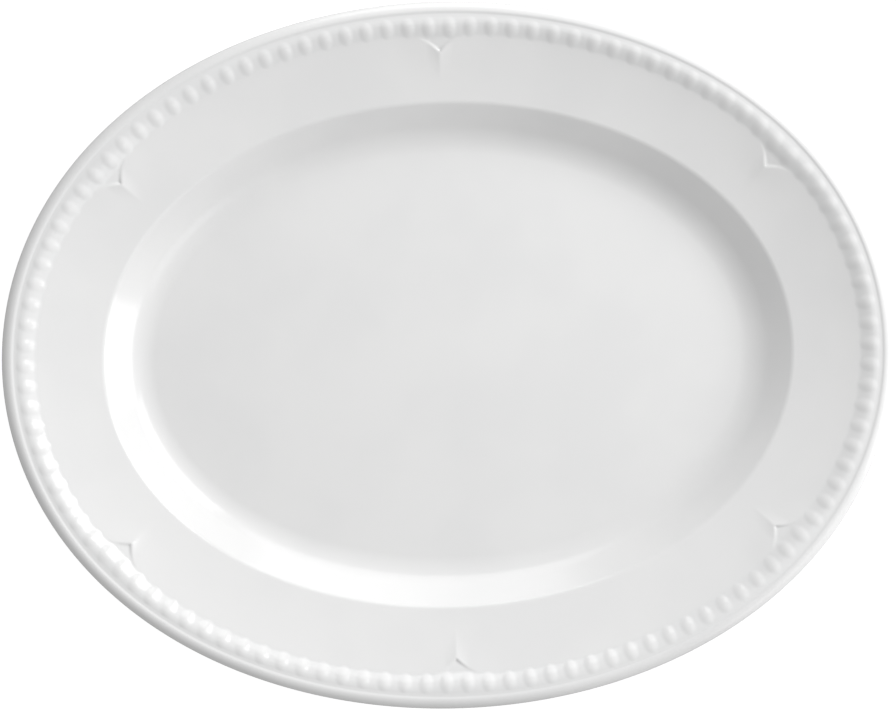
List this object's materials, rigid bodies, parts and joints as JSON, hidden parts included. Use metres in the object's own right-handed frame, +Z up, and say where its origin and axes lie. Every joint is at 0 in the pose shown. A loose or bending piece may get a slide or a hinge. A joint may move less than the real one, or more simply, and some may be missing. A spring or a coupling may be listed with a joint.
{
  "type": "oval serving platter",
  "caption": "Oval white porcelain serving platter: wide rim, rolled edge, beaded border with bracket-shaped points, shallow well, unglazed foot ring.",
  "frame": {"origin": "under the middle of the platter, on the surface that the foot ring stands on", "axes": "+X along the length of the oval, +Y across it, +Z up out of the well"},
  "size_m": [0.3048, 0.2416, 0.0278],
  "materials": {
    "white_glaze": "gloss",
    "bare_porcelain": "matte"
  },
  "bodies": {
    "root": {"foot_ring": "bare_porcelain", "well_floor": "white_glaze", "well_wall": "white_glaze", "rim_flange": "white_glaze", "bead_band": "white_glaze", "edge_roll": "white_glaze", "cusp_point_1": "white_glaze", "cusp_point_2": "white_glaze", "cusp_point_3": "white_glaze", "cusp_point_4": "white_glaze", "cusp_point_5": "white_glaze", "cusp_point_6": "white_glaze"}
  },
  "joints": []
}
